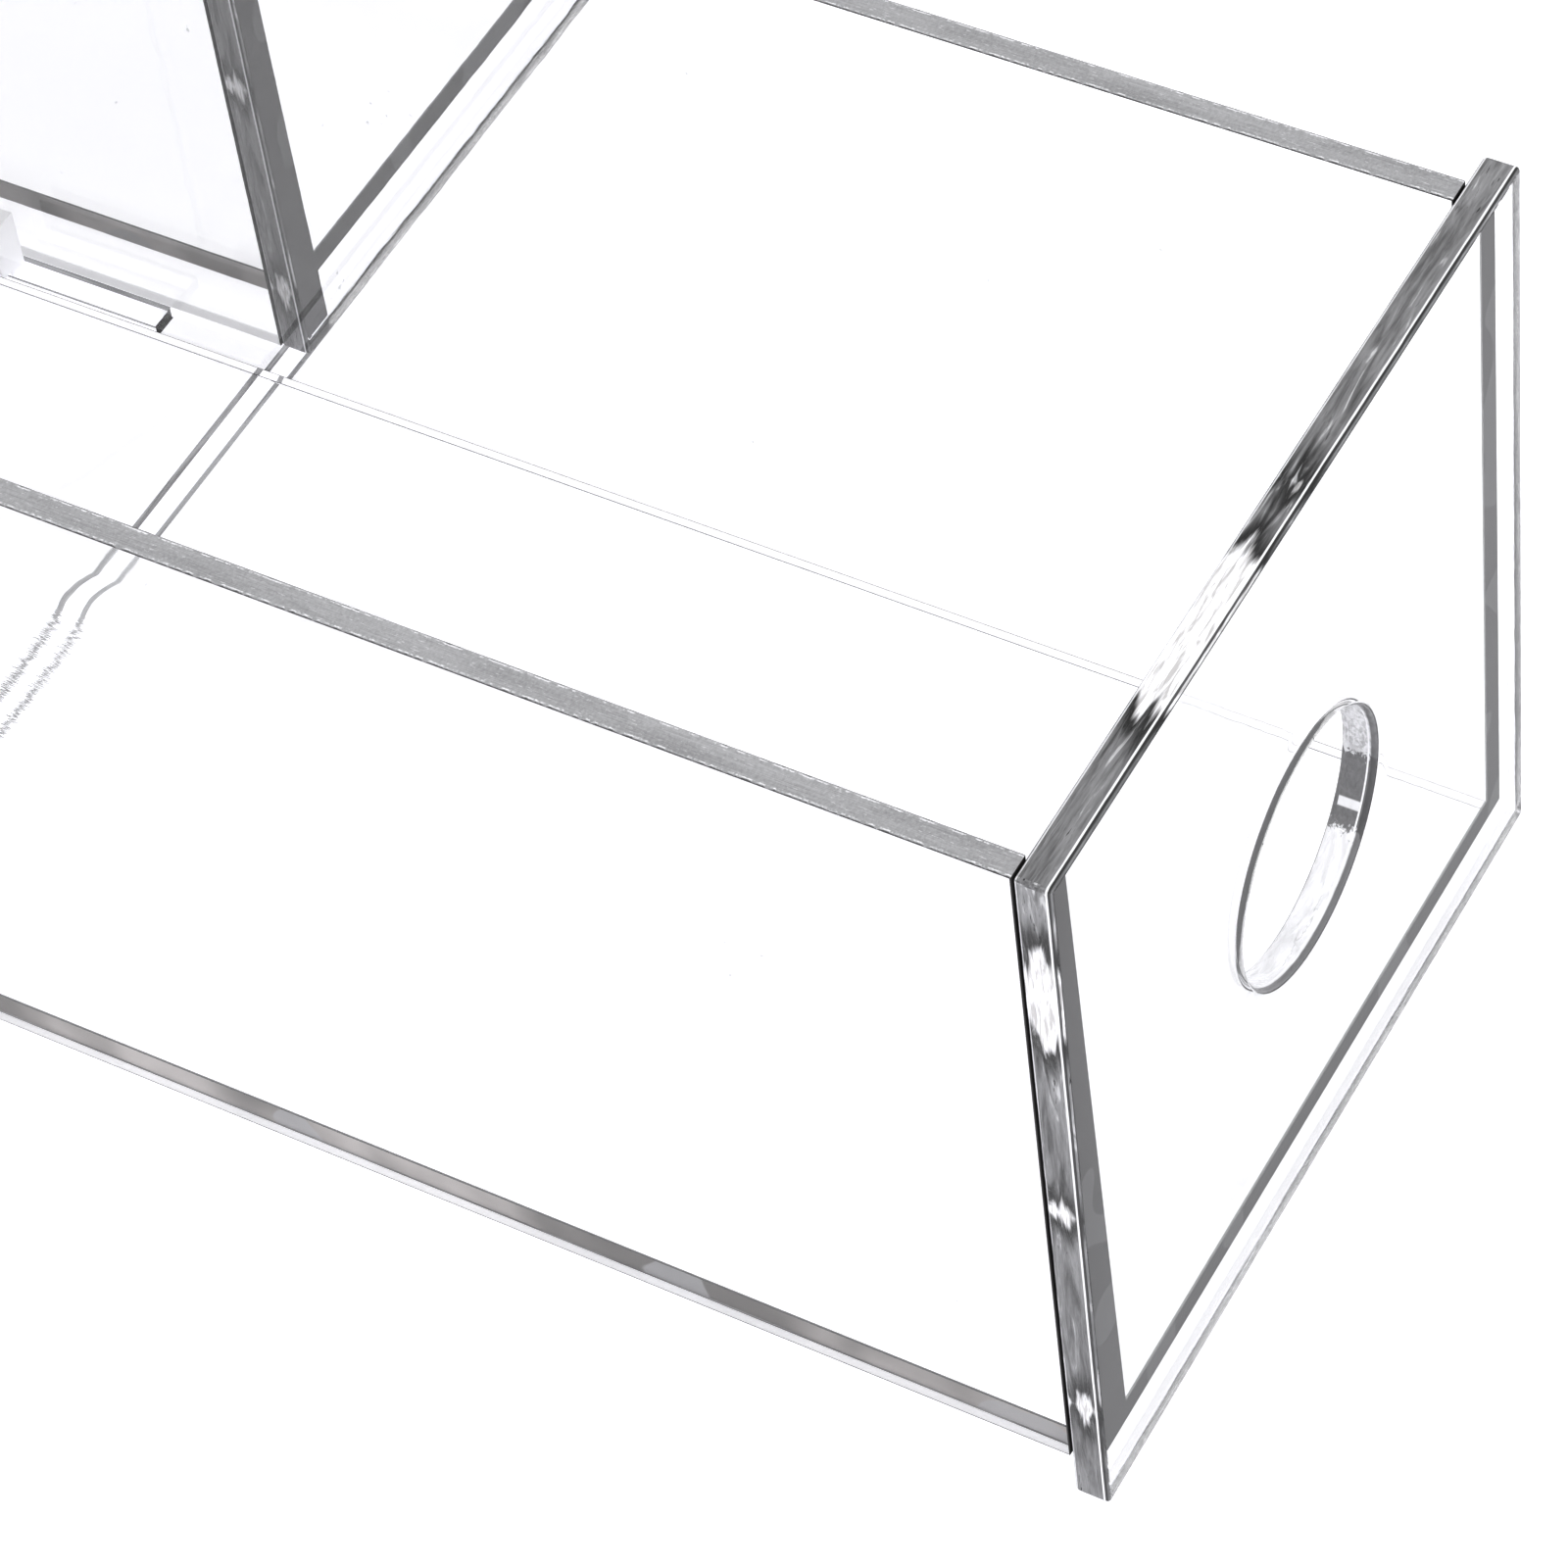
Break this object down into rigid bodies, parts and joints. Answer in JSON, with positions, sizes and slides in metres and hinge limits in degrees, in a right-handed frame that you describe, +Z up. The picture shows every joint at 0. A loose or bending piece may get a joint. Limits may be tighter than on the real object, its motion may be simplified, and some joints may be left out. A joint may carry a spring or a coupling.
{
  "type": "dice tower",
  "caption": "Clear acrylic dice tower on a laminated base, with sloping baffles, a side exit ramp and a square-fronted catch tray that slides out, with a round finger hole.",
  "frame": {"origin": "centre of the whole outline with the tray pulled out, on the table", "axes": "+Z up; -Y towards the tray's front panel and the user; +X from the tray to the tower"},
  "size_m": [0.201, 0.404, 0.256],
  "materials": {
    "clear_sheet": "clear cast acrylic with matte sawn edges",
    "polished_panel": "clear cast acrylic with flame-polished edges"
  },
  "bodies": {
    "stand": {"base_lower_sheet": "clear_sheet", "base_upper_sheet": "clear_sheet", "tower_front_panel": "polished_panel", "tower_left_wall": "clear_sheet", "tower_right_wall": "clear_sheet", "tower_back_wall": "clear_sheet", "tower_floor": "clear_sheet", "lower_baffle": "clear_sheet", "upper_baffle": "clear_sheet", "lower_baffle_cleat": "clear_sheet", "upper_baffle_cleat": "clear_sheet", "exit_ramp": "clear_sheet", "ramp_cleat": "clear_sheet", "ramp_cheek_front": "clear_sheet", "ramp_cheek_rear": "clear_sheet"},
    "tray": {"tray_front_panel": "polished_panel", "tray_near_wall": "clear_sheet", "tray_far_wall": "clear_sheet", "tray_rear_wall": "clear_sheet", "tray_floor": "clear_sheet", "tray_guide_key": "clear_sheet"}
  },
  "joints": [
    {"name": "tray_slide", "type": "slide", "parent": "stand", "child": "tray", "axis": [0, -1, 0], "range_m": [-0.1567, 0.0207]}
  ]
}
